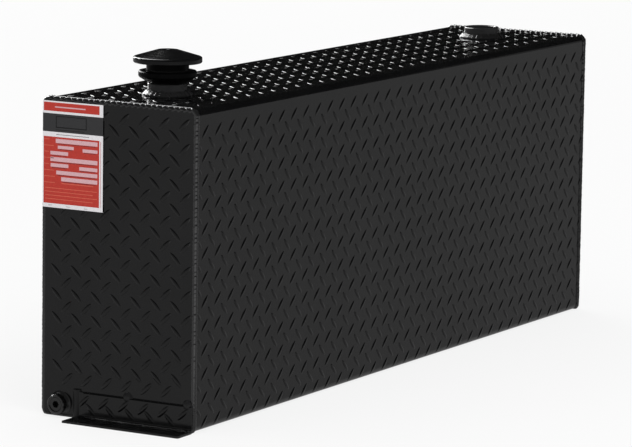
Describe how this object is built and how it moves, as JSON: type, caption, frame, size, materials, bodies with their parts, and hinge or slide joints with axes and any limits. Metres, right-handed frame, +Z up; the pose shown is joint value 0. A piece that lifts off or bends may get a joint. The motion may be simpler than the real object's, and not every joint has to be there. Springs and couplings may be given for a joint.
{
  "type": "truck bed transfer tank",
  "caption": "Slim upright welded fuel tank of black powder coated aluminium tread plate, with a vented screw cap, a threaded pump port, a plugged drain and end mounting angles.",
  "frame": {"origin": "on the truck bed under the middle of the tank, halfway between the outer edges of the two mounting angles", "axes": "+X along the tank from the end with the label, drain and filler towards the pump port end, +Y across it towards the side that the label and the drain are next to, +Z up"},
  "size_m": [1.2992, 0.2562, 0.5222],
  "materials": {
    "tread_plate": "gloss black powder coat over aluminium tread plate",
    "weld_bead": "gloss black powder coat over rippled weld beads",
    "fitting_coat": "gloss black powder coat over turned aluminium fittings",
    "cap_coat": "satin black coat over a cast cap",
    "mill_aluminium": "mill finish aluminium inside the tank and cap",
    "bright_steel": "plated steel",
    "gasket_rubber": "moulded black rubber",
    "label_film": "printed red and white vinyl sticker"
  },
  "bodies": {
    "tank": {"tank_wrap": "tread_plate", "end_plate_near": "tread_plate", "end_plate_far": "tread_plate", "mounting_angle_near": "tread_plate", "mounting_angle_far": "tread_plate", "weld_end_near": "weld_bead", "weld_end_far": "weld_bead", "weld_bottom_seam": "weld_bead", "weld_angle_near": "weld_bead", "weld_angle_far": "weld_bead", "weld_filler_coupling": "weld_bead", "weld_pump_coupling": "weld_bead", "weld_drain_coupling": "weld_bead", "baffle_near": "mill_aluminium", "baffle_far": "mill_aluminium", "baffle_welds": "mill_aluminium", "filler_coupling": "fitting_coat", "pump_coupling": "fitting_coat", "drain_coupling": "fitting_coat", "drain_plug": "fitting_coat", "filler_adapter": "fitting_coat", "label": "label_film"},
    "cap_seal": {"cap_gasket": "gasket_rubber"},
    "cap": {"cap_casting": "cap_coat", "vent_seat_plate": "mill_aluminium", "vent_seat_screws": "bright_steel", "vent_guide_pin": "bright_steel", "vent_spring": "bright_steel"},
    "vent_valve": {"vent_poppet": "mill_aluminium", "vent_poppet_seal": "gasket_rubber"}
  },
  "joints": [
    {"name": "cap_rise", "type": "slide", "parent": "tank", "child": "cap_seal", "axis": [0, 0, 1], "range_m": [0, 0.008]},
    {"name": "cap_turn", "type": "hinge", "parent": "cap_seal", "child": "cap", "pos_m": [-0.4826, 0, 0.5], "axis": [0, 0, 1], "range_deg": [0, 720]},
    {"name": "vent_lift", "type": "slide", "parent": "cap", "child": "vent_valve", "axis": [0, 0, 1], "range_m": [0, 0.0015], "stiffness_N_per_m": 150, "springref_m": -0.002, "deforming": ["vent_spring"]}
  ],
  "couplings": [
    {"joint": "cap_rise", "follows": "cap_turn", "m_per_rad": 0.00063662}
  ]
}
